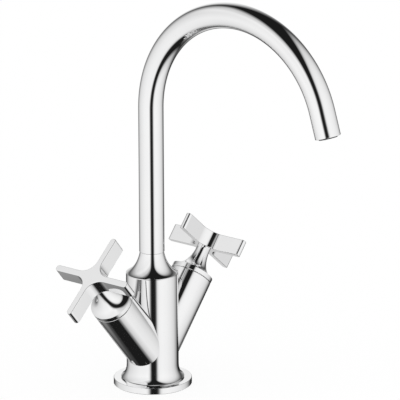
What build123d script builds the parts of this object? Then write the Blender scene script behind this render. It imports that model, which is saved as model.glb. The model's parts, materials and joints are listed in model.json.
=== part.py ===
from build123d import *
import os
from math import cos, radians, sin, tan

# Single-hole basin mixer with two cross handles on leaning valve arms and a swivelling gooseneck spout.
# Millimetres, +Z up. The origin is the middle of the base, on the deck that the faucet stands on.
# The spout points to -Y. The hot arm leans to -X and the cold arm to +X.
# A station is a distance along a valve arm's axis, from the point where both arms' axes cross.

# Clearances
RUNNING_CLEARANCE = 0.05
SEAT_CLEARANCE = 0.1
BRAZE_GAP = 0.05
TURNING_GAP = 0.3

# Flares of the foot, the bell nut and the handles: shares of a flare's height that shape its curve
FLARE_RIM_PULL = 0.38
FLARE_NECK_PULL = 0.47

# Base ring on the deck and its seal
BASE_RING_DIAMETER = 56.0
BASE_RING_HEIGHT = 4.6
BASE_RING_EDGE = 0.5
BASE_SEAL_DIAMETER = 51.0
BASE_SEAL_WIDTH = 4.5
BASE_SEAL_THICKNESS = 1.8

# Column of the mixer body
COLUMN_DIAMETER = 37.2
SHOULDER_HEIGHT = 82.5
EDGE_BREAK = 0.3
FOOT_DIAMETER = 45.2
FOOT_LIP_HEIGHT = 0.8
FOOT_FLARE_HEIGHT = 10.1
FOOT_RIM_SLOPE = 56.0
FOOT_SPIGOT_DIAMETER = 34.0
NECK_DIAMETER = 22.0
NECK_HEIGHT = 4.0

# Connections in the underside: two hose ports and the fixing stud
PORT_DIAMETER = 9.0
PORT_DEPTH = 12.0
PORT_SPACING = 19.0
STUD_HOLE_DIAMETER = 6.8
STUD_HOLE_DEPTH = 14.0
STUD_HOLE_OFFSET = 10.0

# Valve arms
ARM_LEAN = 40.5
ARM_CROSSING_HEIGHT = 19.2
ARM_DIAMETER = 30.6
ARM_END_STATION = 66.1
CHAMBER_DIAMETER = 21.0
SEAT_STATION = 37.0
PASSAGE_DIAMETER = 7.0
OUTLET_PASSAGE_DIAMETER = 6.0
OUTLET_PASSAGE_HEIGHT = 57.0
FLANGE_BORE_DIAMETER = 25.6
FLANGE_SEAT_DEPTH = 5.0
GLIDE_RING_DIAMETER = 28.2
GLIDE_RING_WIDTH = 1.2
GLIDE_RING_THICKNESS = 1.4
GLIDE_RING_STANDING = 0.2

# Ceramic valve
SEAT_SEAL_THICKNESS = 2.0
SEAT_SEAL_WIDTH = 1.2
DISC_DIAMETER = 15.8
DISC_THICKNESS = 3.0
DISC_PORT_DIAMETER = 4.4
DISC_PORT_RADIUS = 4.2
DRIVE_PEG_DIAMETER = 1.8
DRIVE_PEG_LENGTH = 1.5
DRIVE_PEG_RADIUS = 5.6
SPINDLE_FOOT_WIDTH = 5.0
SPINDLE_FOOT_THICKNESS = 3.4
SPINDLE_DIAMETER = 10.0
SPINDLE_TIP_DIAMETER = 8.0
SPINDLE_TIP_LENGTH = 12.8
WINDOW_WIDTH = 6.0
HOUSING_FLANGE_THICKNESS = 3.2
HOUSING_NOSE_DIAMETER = 13.0
HOUSING_NOSE_STANDING = 1.5
CLIP_DIAMETER = 12.4
CLIP_THICKNESS = 0.8
CLIP_GROOVE_DEPTH = 0.6
O_RING_SECTION = 1.2
O_RING_SQUEEZE_GAP = 0.05
SPINDLE_O_RING_SPACING = 4.0
HOUSING_O_RING_DROP = 1.6

# Handles
CAP_RIM_HEIGHT = 3.4
CAP_RECESS_DIAMETER = 26.0
CAP_RECESS_DEPTH = 1.5
STEM_DIAMETER = 9.9
STEM_FLARE_HEIGHT = 19.0
STEM_RIM_SLOPE = 78.0
STEM_SPIGOT_DIAMETER = 6.4
STEM_SPIGOT_LENGTH = 7.0
CROSS_SPAN = 65.4
BLADE_DEPTH = 12.2
BLADE_THICKNESS = 4.6
BLADE_INNER_RADIUS = 10.0
BLADE_TIP_RADIUS = 1.9
BLADE_EDGE = 0.35
GRUB_DIAMETER = 3.0
GRUB_SOCKET_DIAMETER = 1.5
GRUB_RECESS = 0.5
GRUB_HEIGHT = 7.4
GRUB_TURN = 45.0

# Bell nut
BELL_HEIGHT = 15.8
BELL_RIM_SLOPE = 67.0
BELL_NECK_SLOPE = 9.9
BELL_NECK_STEP = 0.4

# Spout
TUBE_DIAMETER = 18.0
TUBE_WALL = 1.0
TUBE_EDGE = 0.25
BEND_START_HEIGHT = 204.0
BEND_RADIUS = 78.0
BEND_ANGLE = 163.0
OUTLET_STRAIGHT_LENGTH = 17.5

# Spout swivel
SPIGOT_DIAMETER = 11.0
SPIGOT_BORE_DIAMETER = 6.0
SPIGOT_DEPTH = 24.5
SPIGOT_PLUG_LENGTH = 14.0
COLLAR_DIAMETER = 18.0
COLLAR_THICKNESS = 2.4
COLLAR_GAP = 0.05
SPOUT_GLIDE_THICKNESS = 0.8
SPOUT_O_RING_SPACING = 9.0
SPOUT_O_RING_DROP = 8.0
MIXING_DEPTH = 12.0
SWIVEL_HALF_RANGE = 60.0
SWIVEL_STOP_MARGIN = 1.5
STOP_PIN_DIAMETER = 1.4
STOP_PIN_RADIUS = 7.2
STOP_PIN_SEAT_DEPTH = 3.5
STOP_PIN_CLEARANCE = 0.1

# Aerator in the spout's end
AERATOR_RECESS = 0.8
AERATOR_LENGTH = 11.0
AERATOR_WALL = 1.3
AERATOR_INSERT_LENGTH = 5.0
AERATOR_INSERT_STANDING = 0.9
AERATOR_HOLE_DIAMETER = 1.5
AERATOR_HOLE_RINGS = {2.1: 6, 4.3: 12}
SCREEN_THICKNESS = 0.6
SCREEN_GAP = 1.0
AERATOR_SEAL_THICKNESS = 1.5
AERATOR_SEAL_WIDTH = 2.0

# Worked out from the sizes above
SIDES = {"hot": -1, "cold": 1}
LEAN = radians(ARM_LEAN)
COLUMN_RADIUS = COLUMN_DIAMETER / 2
ARM_RADIUS = ARM_DIAMETER / 2
NECK_TOP = SHOULDER_HEIGHT + NECK_HEIGHT
SPIGOT_RADIUS = SPIGOT_DIAMETER / 2
SPIGOT_HOLE_RADIUS = SPIGOT_RADIUS + RUNNING_CLEARANCE
SPIGOT_BOTTOM = NECK_TOP - SPIGOT_DEPTH
TUBE_RADIUS = TUBE_DIAMETER / 2
TUBE_BORE_RADIUS = TUBE_RADIUS - TUBE_WALL
BELL_TOP = SHOULDER_HEIGHT + BELL_HEIGHT
TUBE_FOOT = BELL_TOP + TURNING_GAP
COLLAR_BOTTOM = NECK_TOP + SPOUT_GLIDE_THICKNESS + COLLAR_GAP
COLLAR_TOP = COLLAR_BOTTOM + COLLAR_THICKNESS
COLLAR_RADIUS = COLLAR_DIAMETER / 2

FLANGE_SEAT_STATION = ARM_END_STATION - FLANGE_SEAT_DEPTH
FIXED_DISC_STATION = SEAT_STATION + SEAT_SEAL_THICKNESS
MOVING_DISC_STATION = FIXED_DISC_STATION + DISC_THICKNESS
SPINDLE_FOOT_STATION = MOVING_DISC_STATION + DISC_THICKNESS
SPINDLE_SHOULDER_STATION = SPINDLE_FOOT_STATION + SPINDLE_FOOT_THICKNESS
DISC_RADIUS = DISC_DIAMETER / 2
HOUSING_RADIUS = CHAMBER_DIAMETER / 2 - SEAT_CLEARANCE
CAGE_RADIUS = DISC_RADIUS + SEAT_CLEARANCE
CAGE_TOP_STATION = SPINDLE_SHOULDER_STATION + TURNING_GAP
NOSE_TOP_STATION = ARM_END_STATION + HOUSING_NOSE_STANDING
SPINDLE_RADIUS = SPINDLE_DIAMETER / 2
SPINDLE_HOLE_RADIUS = SPINDLE_RADIUS + RUNNING_CLEARANCE
TIP_RADIUS = SPINDLE_TIP_DIAMETER / 2
TIP_TOP_STATION = NOSE_TOP_STATION + SPINDLE_TIP_LENGTH
CLIP_STATION = NOSE_TOP_STATION + RUNNING_CLEARANCE
CLIP_HOLE_RADIUS = TIP_RADIUS - CLIP_GROOVE_DEPTH + RUNNING_CLEARANCE
O_RING_RADIUS = O_RING_SECTION / 2
GROOVE_WIDTH = O_RING_SECTION + SEAT_CLEARANCE
GROOVE_DEPTH = O_RING_SECTION + O_RING_SQUEEZE_GAP
SPINDLE_O_RING_STATIONS = [
    (CAGE_TOP_STATION + NOSE_TOP_STATION - SPINDLE_O_RING_SPACING) / 2 + SPINDLE_O_RING_SPACING * i
    for i in range(2)
]
HOUSING_O_RING_STATION = FLANGE_SEAT_STATION - HOUSING_O_RING_DROP

CAP_STATION = ARM_END_STATION + TURNING_GAP
CAP_TOP_STATION = CAP_STATION + CAP_RIM_HEIGHT
STEM_TOP_STATION = CAP_TOP_STATION + STEM_FLARE_HEIGHT
STEM_RADIUS = STEM_DIAMETER / 2
GRUB_STATION = CAP_TOP_STATION + GRUB_HEIGHT

SPOUT_O_RING_HEIGHTS = [NECK_TOP - SPOUT_O_RING_DROP - SPOUT_O_RING_SPACING * i for i in range(2)]
BEND_AXIS = Axis((0, -BEND_RADIUS, BEND_START_HEIGHT), (-1, 0, 0))
BEND_TURN = radians(BEND_ANGLE)
BEND_END = Vector(
    0,
    -BEND_RADIUS * (1 - cos(BEND_TURN)),
    BEND_START_HEIGHT + BEND_RADIUS * sin(BEND_TURN),
)
OUTLET_DIRECTION = Vector(0, -sin(BEND_TURN), cos(BEND_TURN))
OUTLET_PLANE = Plane(
    origin=BEND_END + OUTLET_DIRECTION * OUTLET_STRAIGHT_LENGTH,
    x_dir=(1, 0, 0),
    z_dir=OUTLET_DIRECTION,
)
AERATOR_INNER_RADIUS = TUBE_BORE_RADIUS - BRAZE_GAP - AERATOR_WALL


def arm_plane(side, station):
    """Plane square to a valve arm, with Y of the object as its X."""
    direction = Vector(side * sin(LEAN), 0, cos(LEAN))
    origin = Vector(0, 0, ARM_CROSSING_HEIGHT) + direction * station
    return Plane(origin=origin, x_dir=(0, 1, 0), z_dir=direction)


def arm_section(side):
    """Plane through a valve arm's axis: X is the radius and Y is the station."""
    arm = arm_plane(side, 0)
    return Plane(origin=arm.origin, x_dir=arm.x_dir, z_dir=-arm.y_dir)


def arm_axis(side):
    """Axis of a valve arm, pointing outwards."""
    arm = arm_plane(side, 0)
    return Axis(arm.origin, arm.z_dir)


def flare_points(rim, neck, rim_slope, neck_slope):
    """Control points of a trumpet curve from its wide rim to its neck. Slopes are in degrees from the axis."""
    rise = neck[1] - rim[1]
    rim_turn = radians(rim_slope)
    neck_turn = radians(neck_slope)
    rim_pull = FLARE_RIM_PULL * rise
    neck_pull = FLARE_NECK_PULL * rise
    return (
        rim,
        (rim[0] - rim_pull * sin(rim_turn), rim[1] + rim_pull * cos(rim_turn)),
        (neck[0] + neck_pull * sin(neck_turn), neck[1] - neck_pull * cos(neck_turn)),
        neck,
    )


def flare_radius(points, height):
    """Radius of a trumpet curve at a height, found by halving."""
    low = 0.0
    high = 1.0
    for step in range(40):
        share = (low + high) / 2
        rest = 1 - share
        weights = (rest**3, 3 * rest**2 * share, 3 * rest * share**2, share**3)
        if sum(weight * point[1] for weight, point in zip(weights, points)) < height:
            low = share
        else:
            high = share
    return sum(weight * point[0] for weight, point in zip(weights, points))


def grub_plane(side):
    """Plane of a grub screw on the handle's axis, its Z pointing out between the two lower rear blades."""
    arm = arm_plane(side, GRUB_STATION)
    turn = radians(-side * GRUB_TURN)
    return Plane(origin=arm.origin, x_dir=arm.z_dir, z_dir=arm.x_dir * cos(turn) + arm.y_dir * sin(turn))


def ring_section(inner, outer, low, high):
    """Rectangle from an inner to an outer radius, between two heights or stations."""
    with Locations(((inner + outer) / 2, (low + high) / 2)):
        Rectangle(outer - inner, high - low)


def save(piece, name):
    """Label a finished piece and write it under its name."""
    piece.part.label = name
    export_step(piece.part, f"parts/{name}.step")


os.makedirs("parts", exist_ok=True)

# Base ring, with a groove for the seal in its underside
BASE_RING_HOLE_RADIUS = FOOT_SPIGOT_DIAMETER / 2 + SEAT_CLEARANCE
BASE_SEAL_OUTER = BASE_SEAL_DIAMETER / 2
BASE_SEAL_INNER = BASE_SEAL_OUTER - BASE_SEAL_WIDTH
with BuildPart() as base_ring:
    with BuildSketch(Plane.XZ):
        ring_section(BASE_RING_HOLE_RADIUS, BASE_RING_DIAMETER / 2, 0, BASE_RING_HEIGHT)
    revolve(axis=Axis.Z)
    with BuildSketch(Plane.XZ):
        ring_section(
            BASE_SEAL_INNER - SEAT_CLEARANCE, BASE_SEAL_OUTER + SEAT_CLEARANCE, 0, BASE_SEAL_THICKNESS
        )
    revolve(axis=Axis.Z, mode=Mode.SUBTRACT)
    fillet(base_ring.faces().sort_by(Axis.Z)[-1].outer_wire().edges(), BASE_RING_EDGE)
save(base_ring, "base_ring")

with BuildPart() as base_seal:
    with BuildSketch(Plane.XZ):
        ring_section(BASE_SEAL_INNER, BASE_SEAL_OUTER, 0, BASE_SEAL_THICKNESS)
    revolve(axis=Axis.Z)
save(base_seal, "base_seal")

# Mixer body: column with a flared foot, two valve arms and their waterways in one casting
FOOT_RADIUS = FOOT_DIAMETER / 2
FLARE_BOTTOM = BASE_RING_HEIGHT + FOOT_LIP_HEIGHT
FLARE_TOP = FLARE_BOTTOM + FOOT_FLARE_HEIGHT
GLIDE_SEAT_STATION = ARM_END_STATION + GLIDE_RING_STANDING - GLIDE_RING_THICKNESS
GLIDE_HOLE_RADIUS = GLIDE_RING_DIAMETER / 2 + SEAT_CLEARANCE
PORT_STATION = PORT_SPACING / 2 / sin(LEAN)
PORT_TOP = ARM_CROSSING_HEIGHT + PORT_SPACING / 2 / tan(LEAN)
OUTLET_REACH = (OUTLET_PASSAGE_HEIGHT - ARM_CROSSING_HEIGHT) * tan(LEAN)
with BuildPart() as mixer_body:
    with BuildSketch(Plane.XZ):
        with BuildLine():
            Polyline(
                (COLUMN_RADIUS, FLARE_TOP),
                (COLUMN_RADIUS, SHOULDER_HEIGHT - EDGE_BREAK),
                (COLUMN_RADIUS - EDGE_BREAK, SHOULDER_HEIGHT),
                (NECK_DIAMETER / 2, SHOULDER_HEIGHT),
                (NECK_DIAMETER / 2, NECK_TOP),
                (0, NECK_TOP),
                (0, 0),
                (FOOT_SPIGOT_DIAMETER / 2, 0),
                (FOOT_SPIGOT_DIAMETER / 2, BASE_RING_HEIGHT),
                (FOOT_RADIUS - FOOT_LIP_HEIGHT, BASE_RING_HEIGHT),
                (FOOT_RADIUS, FLARE_BOTTOM),
            )
            Bezier(
                *flare_points((FOOT_RADIUS, FLARE_BOTTOM), (COLUMN_RADIUS, FLARE_TOP), FOOT_RIM_SLOPE, 0)
            )
        make_face()
    revolve(axis=Axis.Z)
    for side in SIDES.values():
        with BuildSketch(arm_section(side)):
            with BuildLine():
                Polyline(
                    (0, 0),
                    (ARM_RADIUS, 0),
                    (ARM_RADIUS, ARM_END_STATION - EDGE_BREAK),
                    (ARM_RADIUS - EDGE_BREAK, ARM_END_STATION),
                    (0, ARM_END_STATION),
                    close=True,
                )
            make_face()
        revolve(axis=arm_axis(side))
    for side in SIDES.values():
        with BuildSketch(arm_section(side)):
            ring_section(0, PASSAGE_DIAMETER / 2, PORT_STATION, SEAT_STATION)
            ring_section(0, CHAMBER_DIAMETER / 2, SEAT_STATION, FLANGE_SEAT_STATION)
            ring_section(0, FLANGE_BORE_DIAMETER / 2, FLANGE_SEAT_STATION, GLIDE_SEAT_STATION)
            ring_section(0, GLIDE_HOLE_RADIUS, GLIDE_SEAT_STATION, ARM_END_STATION)
        revolve(axis=arm_axis(side), mode=Mode.SUBTRACT)
        with Locations(Plane(origin=(side * PORT_SPACING / 2, 0, 0), z_dir=(0, 0, -1))):
            Hole(PORT_DIAMETER / 2, PORT_DEPTH)
            Hole(PASSAGE_DIAMETER / 2, PORT_TOP)
    with Locations(Plane(origin=(0, -STUD_HOLE_OFFSET, 0), z_dir=(0, 0, -1))):
        Hole(STUD_HOLE_DIAMETER / 2, STUD_HOLE_DEPTH)
    with BuildSketch(Plane.YZ):
        with Locations((0, OUTLET_PASSAGE_HEIGHT)):
            Circle(OUTLET_PASSAGE_DIAMETER / 2)
    extrude(amount=OUTLET_REACH, both=True, mode=Mode.SUBTRACT)
    with Locations((0, 0, NECK_TOP)):
        Hole(SPIGOT_HOLE_RADIUS, SPIGOT_DEPTH + TURNING_GAP)
        Hole(SPIGOT_BORE_DIAMETER / 2, SPIGOT_DEPTH + MIXING_DEPTH)
    with Locations((0, STOP_PIN_RADIUS, NECK_TOP)):
        Hole(STOP_PIN_DIAMETER / 2, STOP_PIN_SEAT_DEPTH)
save(mixer_body, "mixer_body")

# Bell nut: holds the spout's collar down on the column's neck
BELL_TOP_RADIUS = TUBE_RADIUS - BELL_NECK_STEP
BELL_RIM_HEIGHT = SHOULDER_HEIGHT + EDGE_BREAK
BELL_FLARE = flare_points(
    (COLUMN_RADIUS, BELL_RIM_HEIGHT), (BELL_TOP_RADIUS, BELL_TOP), BELL_RIM_SLOPE, BELL_NECK_SLOPE
)
NECK_HOLE_RADIUS = NECK_DIAMETER / 2 + SEAT_CLEARANCE
NECK_HOLE_TOP = NECK_TOP + SEAT_CLEARANCE
with BuildPart() as bell_nut:
    with BuildSketch(Plane.XZ):
        with BuildLine():
            Bezier(*BELL_FLARE)
            Polyline(
                (COLUMN_RADIUS, BELL_RIM_HEIGHT),
                (COLUMN_RADIUS - EDGE_BREAK, SHOULDER_HEIGHT),
                (0, SHOULDER_HEIGHT),
                (0, BELL_TOP),
                (BELL_TOP_RADIUS, BELL_TOP),
            )
        make_face()
    revolve(axis=Axis.Z)
    with BuildSketch(Plane.XZ):
        ring_section(0, NECK_HOLE_RADIUS, SHOULDER_HEIGHT, NECK_HOLE_TOP)
        ring_section(0, COLLAR_RADIUS + TURNING_GAP, NECK_HOLE_TOP, COLLAR_TOP + TURNING_GAP)
        ring_section(0, SPIGOT_HOLE_RADIUS, COLLAR_TOP + TURNING_GAP, BELL_TOP)
    revolve(axis=Axis.Z, mode=Mode.SUBTRACT)
save(bell_nut, "bell_nut")

# Glide ring that the spout's collar turns on, and the pin that limits the swivel
with BuildPart() as spout_glide_ring:
    with BuildSketch(Plane.XY.offset(NECK_TOP)):
        Circle(COLLAR_RADIUS)
        Circle(SPIGOT_HOLE_RADIUS, mode=Mode.SUBTRACT)
        with Locations((0, STOP_PIN_RADIUS)):
            Circle(STOP_PIN_DIAMETER / 2 + STOP_PIN_CLEARANCE, mode=Mode.SUBTRACT)
    extrude(amount=SPOUT_GLIDE_THICKNESS)
save(spout_glide_ring, "spout_glide_ring")

with BuildPart() as swivel_stop_pin:
    with BuildSketch(Plane.XY.offset(NECK_TOP - STOP_PIN_SEAT_DEPTH)):
        with Locations((0, STOP_PIN_RADIUS)):
            Circle(STOP_PIN_DIAMETER / 2)
    extrude(amount=COLLAR_TOP - NECK_TOP + STOP_PIN_SEAT_DEPTH)
save(swivel_stop_pin, "swivel_stop_pin")

# Gooseneck tube: straight leg, bend and straight outlet
with BuildPart() as spout_tube:
    with BuildSketch(Plane.XY.offset(TUBE_FOOT)):
        Circle(TUBE_RADIUS)
    extrude(amount=BEND_START_HEIGHT - TUBE_FOOT)
    with BuildSketch(Plane.XY.offset(BEND_START_HEIGHT)):
        Circle(TUBE_RADIUS)
    revolve(axis=BEND_AXIS, revolution_arc=-BEND_ANGLE)
    with BuildSketch(OUTLET_PLANE):
        Circle(TUBE_RADIUS)
    extrude(amount=-OUTLET_STRAIGHT_LENGTH)
    with BuildSketch(Plane.XY.offset(TUBE_FOOT)):
        Circle(TUBE_BORE_RADIUS)
    extrude(amount=BEND_START_HEIGHT - TUBE_FOOT, mode=Mode.SUBTRACT)
    with BuildSketch(Plane.XY.offset(BEND_START_HEIGHT)):
        Circle(TUBE_BORE_RADIUS)
    revolve(axis=BEND_AXIS, revolution_arc=-BEND_ANGLE, mode=Mode.SUBTRACT)
    with BuildSketch(OUTLET_PLANE):
        Circle(TUBE_BORE_RADIUS)
    extrude(amount=-OUTLET_STRAIGHT_LENGTH, mode=Mode.SUBTRACT)
    tube_ends = spout_tube.faces().filter_by(GeomType.PLANE)
    fillet([face.outer_wire().edge() for face in tube_ends], TUBE_EDGE)
save(spout_tube, "spout_tube")

# Spigot brazed into the tube's foot, with a collar under the bell nut and two O-ring grooves
with BuildPart() as spout_spigot:
    with BuildSketch(Plane.XZ):
        ring_section(SPIGOT_BORE_DIAMETER / 2, SPIGOT_RADIUS, SPIGOT_BOTTOM, TUBE_FOOT)
        ring_section(SPIGOT_BORE_DIAMETER / 2, COLLAR_RADIUS, COLLAR_BOTTOM, COLLAR_TOP)
        ring_section(
            SPIGOT_BORE_DIAMETER / 2,
            TUBE_BORE_RADIUS - BRAZE_GAP,
            TUBE_FOOT,
            TUBE_FOOT + SPIGOT_PLUG_LENGTH,
        )
    revolve(axis=Axis.Z)
    with BuildSketch(Plane.XZ):
        for height in SPOUT_O_RING_HEIGHTS:
            ring_section(
                SPIGOT_RADIUS - GROOVE_DEPTH,
                SPIGOT_RADIUS,
                height - GROOVE_WIDTH / 2,
                height + GROOVE_WIDTH / 2,
            )
    revolve(axis=Axis.Z, mode=Mode.SUBTRACT)
    with BuildSketch(Plane.XY.offset(COLLAR_BOTTOM)):
        SlotArc(
            CenterArc(
                (0, 0),
                STOP_PIN_RADIUS,
                90 - SWIVEL_HALF_RANGE - SWIVEL_STOP_MARGIN,
                2 * (SWIVEL_HALF_RANGE + SWIVEL_STOP_MARGIN),
                mode=Mode.PRIVATE,
            ),
            STOP_PIN_DIAMETER + 2 * STOP_PIN_CLEARANCE,
        )
    extrude(amount=COLLAR_THICKNESS, mode=Mode.SUBTRACT)
save(spout_spigot, "spout_spigot")

with BuildPart() as spout_o_rings:
    with Locations(*[(0, 0, height) for height in SPOUT_O_RING_HEIGHTS]):
        Torus(SPIGOT_RADIUS - O_RING_RADIUS, O_RING_RADIUS)
save(spout_o_rings, "spout_o_rings")

# Aerator: screwed housing, flow straightener, screen and seal
with BuildPart() as aerator_housing:
    with BuildSketch(OUTLET_PLANE.offset(-AERATOR_RECESS)):
        Circle(TUBE_BORE_RADIUS - BRAZE_GAP)
        Circle(AERATOR_INNER_RADIUS, mode=Mode.SUBTRACT)
    extrude(amount=-AERATOR_LENGTH)
save(aerator_housing, "aerator_housing")

with BuildPart() as aerator_insert:
    with BuildSketch(OUTLET_PLANE.offset(AERATOR_INSERT_STANDING)):
        Circle(AERATOR_INNER_RADIUS - BRAZE_GAP)
        Circle(AERATOR_HOLE_DIAMETER / 2, mode=Mode.SUBTRACT)
        for ring_radius, count in AERATOR_HOLE_RINGS.items():
            with PolarLocations(ring_radius, count):
                Circle(AERATOR_HOLE_DIAMETER / 2, mode=Mode.SUBTRACT)
    extrude(amount=-AERATOR_INSERT_STANDING - AERATOR_RECESS - AERATOR_INSERT_LENGTH)
save(aerator_insert, "aerator_insert")

with BuildPart() as aerator_screen:
    with BuildSketch(OUTLET_PLANE.offset(-AERATOR_RECESS - AERATOR_INSERT_LENGTH - SCREEN_GAP)):
        Circle(AERATOR_INNER_RADIUS - BRAZE_GAP)
        Circle(AERATOR_HOLE_DIAMETER / 2, mode=Mode.SUBTRACT)
        for ring_radius, count in AERATOR_HOLE_RINGS.items():
            with PolarLocations(ring_radius, count):
                Circle(AERATOR_HOLE_DIAMETER / 2, mode=Mode.SUBTRACT)
    extrude(amount=-SCREEN_THICKNESS)
save(aerator_screen, "aerator_screen")

with BuildPart() as aerator_seal:
    with BuildSketch(OUTLET_PLANE.offset(-AERATOR_RECESS - AERATOR_LENGTH)):
        Circle(TUBE_BORE_RADIUS - BRAZE_GAP)
        Circle(TUBE_BORE_RADIUS - BRAZE_GAP - AERATOR_SEAL_WIDTH, mode=Mode.SUBTRACT)
    extrude(amount=-AERATOR_SEAL_THICKNESS)
save(aerator_seal, "aerator_seal")

# Valve and handle of each side
STEM_FLARE = flare_points((ARM_RADIUS, CAP_TOP_STATION), (STEM_RADIUS, STEM_TOP_STATION), STEM_RIM_SLOPE, 0)
GRUB_OUTER_RADIUS = flare_radius(STEM_FLARE, GRUB_STATION) - GRUB_RECESS
for name, side in SIDES.items():
    with BuildPart() as seat_seal:
        with BuildSketch(arm_section(side)):
            ring_section(DISC_RADIUS - SEAT_SEAL_WIDTH, DISC_RADIUS, SEAT_STATION, FIXED_DISC_STATION)
        revolve(axis=arm_axis(side))
    save(seat_seal, f"{name}_seat_seal")

    # The fixed disc's ports lie across the moving disc's ports while the valve is closed
    with BuildPart() as fixed_disc:
        with BuildSketch(arm_plane(side, FIXED_DISC_STATION)):
            Circle(DISC_RADIUS)
            with PolarLocations(DISC_PORT_RADIUS, 2):
                Circle(DISC_PORT_DIAMETER / 2, mode=Mode.SUBTRACT)
        extrude(amount=DISC_THICKNESS)
    save(fixed_disc, f"{name}_fixed_disc")

    with BuildPart() as moving_disc:
        with BuildSketch(arm_plane(side, MOVING_DISC_STATION)):
            Circle(DISC_RADIUS)
            with PolarLocations(DISC_PORT_RADIUS, 2, start_angle=90):
                Circle(DISC_PORT_DIAMETER / 2, mode=Mode.SUBTRACT)
        extrude(amount=DISC_THICKNESS)
        with BuildSketch(arm_plane(side, SPINDLE_FOOT_STATION)):
            with PolarLocations(DRIVE_PEG_RADIUS, 2):
                Circle(DRIVE_PEG_DIAMETER / 2 + SEAT_CLEARANCE)
        extrude(amount=-DRIVE_PEG_LENGTH - SEAT_CLEARANCE, mode=Mode.SUBTRACT)
    save(moving_disc, f"{name}_moving_disc")

    # Screwed housing: open cage round the discs, hexagon flange and nose
    with BuildPart() as valve_housing:
        with BuildSketch(arm_section(side)):
            ring_section(CAGE_RADIUS, HOUSING_RADIUS, FIXED_DISC_STATION, CAGE_TOP_STATION)
            ring_section(SPINDLE_HOLE_RADIUS, HOUSING_RADIUS, CAGE_TOP_STATION, FLANGE_SEAT_STATION)
            ring_section(
                SPINDLE_HOLE_RADIUS, HOUSING_NOSE_DIAMETER / 2, FLANGE_SEAT_STATION, NOSE_TOP_STATION
            )
        revolve(axis=arm_axis(side))
        with BuildSketch(arm_plane(side, FLANGE_SEAT_STATION)):
            RegularPolygon(FLANGE_BORE_DIAMETER / 2 - SEAT_CLEARANCE, 6)
            Circle(SPINDLE_HOLE_RADIUS, mode=Mode.SUBTRACT)
        extrude(amount=HOUSING_FLANGE_THICKNESS)
        with BuildSketch(arm_plane(side, MOVING_DISC_STATION)):
            with PolarLocations((CAGE_RADIUS + HOUSING_RADIUS) / 2, 4, start_angle=45):
                Rectangle(2 * (HOUSING_RADIUS - CAGE_RADIUS), WINDOW_WIDTH)
        extrude(amount=SPINDLE_SHOULDER_STATION - MOVING_DISC_STATION, mode=Mode.SUBTRACT)
        with BuildSketch(arm_section(side)):
            ring_section(
                HOUSING_RADIUS - GROOVE_DEPTH,
                HOUSING_RADIUS,
                HOUSING_O_RING_STATION - GROOVE_WIDTH / 2,
                HOUSING_O_RING_STATION + GROOVE_WIDTH / 2,
            )
        revolve(axis=arm_axis(side), mode=Mode.SUBTRACT)
    save(valve_housing, f"{name}_valve_housing")

    with BuildPart(arm_plane(side, HOUSING_O_RING_STATION)) as housing_o_ring:
        Torus(HOUSING_RADIUS - O_RING_RADIUS, O_RING_RADIUS)
    save(housing_o_ring, f"{name}_housing_o_ring")

    with BuildPart() as glide_ring:
        with BuildSketch(arm_section(side)):
            ring_section(
                GLIDE_RING_DIAMETER / 2 - GLIDE_RING_WIDTH,
                GLIDE_RING_DIAMETER / 2,
                GLIDE_SEAT_STATION,
                GLIDE_SEAT_STATION + GLIDE_RING_THICKNESS,
            )
        revolve(axis=arm_axis(side))
    save(glide_ring, f"{name}_glide_ring")

    # Spindle: foot with two drive pegs, shaft with two O-ring grooves, and a tip for the handle
    with BuildPart() as spindle:
        with BuildSketch(arm_section(side)):
            ring_section(0, SPINDLE_RADIUS, SPINDLE_SHOULDER_STATION, NOSE_TOP_STATION)
            ring_section(0, TIP_RADIUS, NOSE_TOP_STATION, TIP_TOP_STATION)
        revolve(axis=arm_axis(side))
        with BuildSketch(arm_plane(side, SPINDLE_FOOT_STATION)):
            Circle(DISC_RADIUS)
            Rectangle(DISC_DIAMETER, SPINDLE_FOOT_WIDTH, mode=Mode.INTERSECT)
        extrude(amount=SPINDLE_FOOT_THICKNESS)
        with BuildSketch(arm_plane(side, SPINDLE_FOOT_STATION)):
            with PolarLocations(DRIVE_PEG_RADIUS, 2):
                Circle(DRIVE_PEG_DIAMETER / 2)
        extrude(amount=-DRIVE_PEG_LENGTH)
        with BuildSketch(arm_section(side)):
            for station in SPINDLE_O_RING_STATIONS:
                ring_section(
                    SPINDLE_RADIUS - GROOVE_DEPTH,
                    SPINDLE_RADIUS,
                    station - GROOVE_WIDTH / 2,
                    station + GROOVE_WIDTH / 2,
                )
            ring_section(
                TIP_RADIUS - CLIP_GROOVE_DEPTH,
                TIP_RADIUS,
                NOSE_TOP_STATION,
                CLIP_STATION + CLIP_THICKNESS + RUNNING_CLEARANCE,
            )
        revolve(axis=arm_axis(side), mode=Mode.SUBTRACT)
    save(spindle, f"{name}_spindle")

    with BuildPart() as spindle_o_rings:
        for station in SPINDLE_O_RING_STATIONS:
            with Locations(arm_plane(side, station)):
                Torus(SPINDLE_RADIUS - O_RING_RADIUS, O_RING_RADIUS)
    save(spindle_o_rings, f"{name}_spindle_o_rings")

    with BuildPart() as spindle_clip:
        with BuildSketch(arm_plane(side, CLIP_STATION)):
            Circle(CLIP_DIAMETER / 2)
            Circle(CLIP_HOLE_RADIUS, mode=Mode.SUBTRACT)
            with Locations((0, CLIP_DIAMETER / 2)):
                Rectangle(2 * CLIP_HOLE_RADIUS, CLIP_DIAMETER, mode=Mode.SUBTRACT)
        extrude(amount=CLIP_THICKNESS)
    save(spindle_clip, f"{name}_spindle_clip")

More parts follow.
